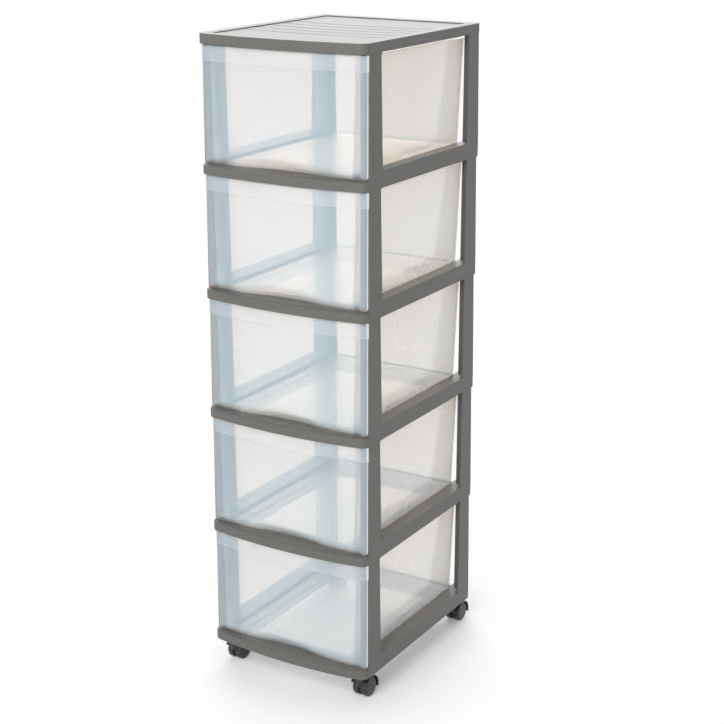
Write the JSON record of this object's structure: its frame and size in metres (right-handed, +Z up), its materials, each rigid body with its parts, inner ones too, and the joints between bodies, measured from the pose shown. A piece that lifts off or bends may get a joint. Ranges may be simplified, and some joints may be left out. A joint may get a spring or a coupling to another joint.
{
  "type": "drawer tower",
  "caption": "Tall free-standing tower of stacked plastic tier frames with bow-fronted clear pull-out drawers, a shallow tray cap and twin-wheel swivel castors.",
  "frame": {"origin": "on the floor, below the middle of the tower's box with its castors trailing to the rear", "axes": "+Z up, the drawers open towards -Y, +X to the right seen from the front"},
  "size_m": [0.285, 0.3722, 1.01],
  "materials": {
    "frame_plastic": "warm mid-grey moulded polypropylene, satin with a fine grain",
    "clear_plastic": "clear, faintly blue moulded polystyrene, glossy",
    "castor_plastic": "black moulded nylon, satin",
    "steel": "zinc-plated steel"
  },
  "bodies": {
    "tower": {"top_cap": "frame_plastic", "tier_frame_1": "frame_plastic", "tier_frame_2": "frame_plastic", "tier_frame_3": "frame_plastic", "tier_frame_4": "frame_plastic", "tier_frame_5": "frame_plastic", "castor_stem_front_left": "steel", "castor_stem_front_right": "steel", "castor_stem_rear_left": "steel", "castor_stem_rear_right": "steel"},
    "drawer_1": {"drawer_1": "clear_plastic"},
    "drawer_2": {"drawer_2": "clear_plastic"},
    "drawer_3": {"drawer_3": "clear_plastic"},
    "drawer_4": {"drawer_4": "clear_plastic"},
    "drawer_5": {"drawer_5": "clear_plastic"},
    "castor_front_left": {"castor_hood_front_left": "castor_plastic", "axle_front_left": "steel"},
    "wheel_front_left_a": {"wheel_front_left_a": "castor_plastic"},
    "wheel_front_left_b": {"wheel_front_left_b": "castor_plastic"},
    "castor_front_right": {"castor_hood_front_right": "castor_plastic", "axle_front_right": "steel"},
    "wheel_front_right_a": {"wheel_front_right_a": "castor_plastic"},
    "wheel_front_right_b": {"wheel_front_right_b": "castor_plastic"},
    "castor_rear_left": {"castor_hood_rear_left": "castor_plastic", "axle_rear_left": "steel"},
    "wheel_rear_left_a": {"wheel_rear_left_a": "castor_plastic"},
    "wheel_rear_left_b": {"wheel_rear_left_b": "castor_plastic"},
    "castor_rear_right": {"castor_hood_rear_right": "castor_plastic", "axle_rear_right": "steel"},
    "wheel_rear_right_a": {"wheel_rear_right_a": "castor_plastic"},
    "wheel_rear_right_b": {"wheel_rear_right_b": "castor_plastic"}
  },
  "joints": [
    {"name": "drawer_1_slide", "type": "slide", "parent": "tower", "child": "drawer_1", "axis": [0, -1, 0], "range_m": [0, 0.25]},
    {"name": "drawer_2_slide", "type": "slide", "parent": "tower", "child": "drawer_2", "axis": [0, -1, 0], "range_m": [0, 0.25]},
    {"name": "drawer_3_slide", "type": "slide", "parent": "tower", "child": "drawer_3", "axis": [0, -1, 0], "range_m": [0, 0.25]},
    {"name": "drawer_4_slide", "type": "slide", "parent": "tower", "child": "drawer_4", "axis": [0, -1, 0], "range_m": [0, 0.25]},
    {"name": "drawer_5_slide", "type": "slide", "parent": "tower", "child": "drawer_5", "axis": [0, -1, 0], "range_m": [0, 0.25]},
    {"name": "castor_front_left_swivel", "type": "hinge", "parent": "tower", "child": "castor_front_left", "pos_m": [-0.1195, -0.1499, 0.04], "axis": [0, 0, 1], "continuous": true},
    {"name": "wheel_front_left_a_spin", "type": "hinge", "parent": "castor_front_left", "child": "wheel_front_left_a", "pos_m": [-0.1195, -0.1379, 0.016], "axis": [1, 0, 0], "continuous": true},
    {"name": "wheel_front_left_b_spin", "type": "hinge", "parent": "castor_front_left", "child": "wheel_front_left_b", "pos_m": [-0.1195, -0.1379, 0.016], "axis": [1, 0, 0], "continuous": true},
    {"name": "castor_front_right_swivel", "type": "hinge", "parent": "tower", "child": "castor_front_right", "pos_m": [0.1195, -0.1499, 0.04], "axis": [0, 0, 1], "continuous": true},
    {"name": "wheel_front_right_a_spin", "type": "hinge", "parent": "castor_front_right", "child": "wheel_front_right_a", "pos_m": [0.1195, -0.1379, 0.016], "axis": [1, 0, 0], "continuous": true},
    {"name": "wheel_front_right_b_spin", "type": "hinge", "parent": "castor_front_right", "child": "wheel_front_right_b", "pos_m": [0.1195, -0.1379, 0.016], "axis": [1, 0, 0], "continuous": true},
    {"name": "castor_rear_left_swivel", "type": "hinge", "parent": "tower", "child": "castor_rear_left", "pos_m": [-0.1195, 0.1547, 0.04], "axis": [0, 0, 1], "continuous": true},
    {"name": "wheel_rear_left_a_spin", "type": "hinge", "parent": "castor_rear_left", "child": "wheel_rear_left_a", "pos_m": [-0.1195, 0.1667, 0.016], "axis": [1, 0, 0], "continuous": true},
    {"name": "wheel_rear_left_b_spin", "type": "hinge", "parent": "castor_rear_left", "child": "wheel_rear_left_b", "pos_m": [-0.1195, 0.1667, 0.016], "axis": [1, 0, 0], "continuous": true},
    {"name": "castor_rear_right_swivel", "type": "hinge", "parent": "tower", "child": "castor_rear_right", "pos_m": [0.1195, 0.1547, 0.04], "axis": [0, 0, 1], "continuous": true},
    {"name": "wheel_rear_right_a_spin", "type": "hinge", "parent": "castor_rear_right", "child": "wheel_rear_right_a", "pos_m": [0.1195, 0.1667, 0.016], "axis": [1, 0, 0], "continuous": true},
    {"name": "wheel_rear_right_b_spin", "type": "hinge", "parent": "castor_rear_right", "child": "wheel_rear_right_b", "pos_m": [0.1195, 0.1667, 0.016], "axis": [1, 0, 0], "continuous": true}
  ]
}
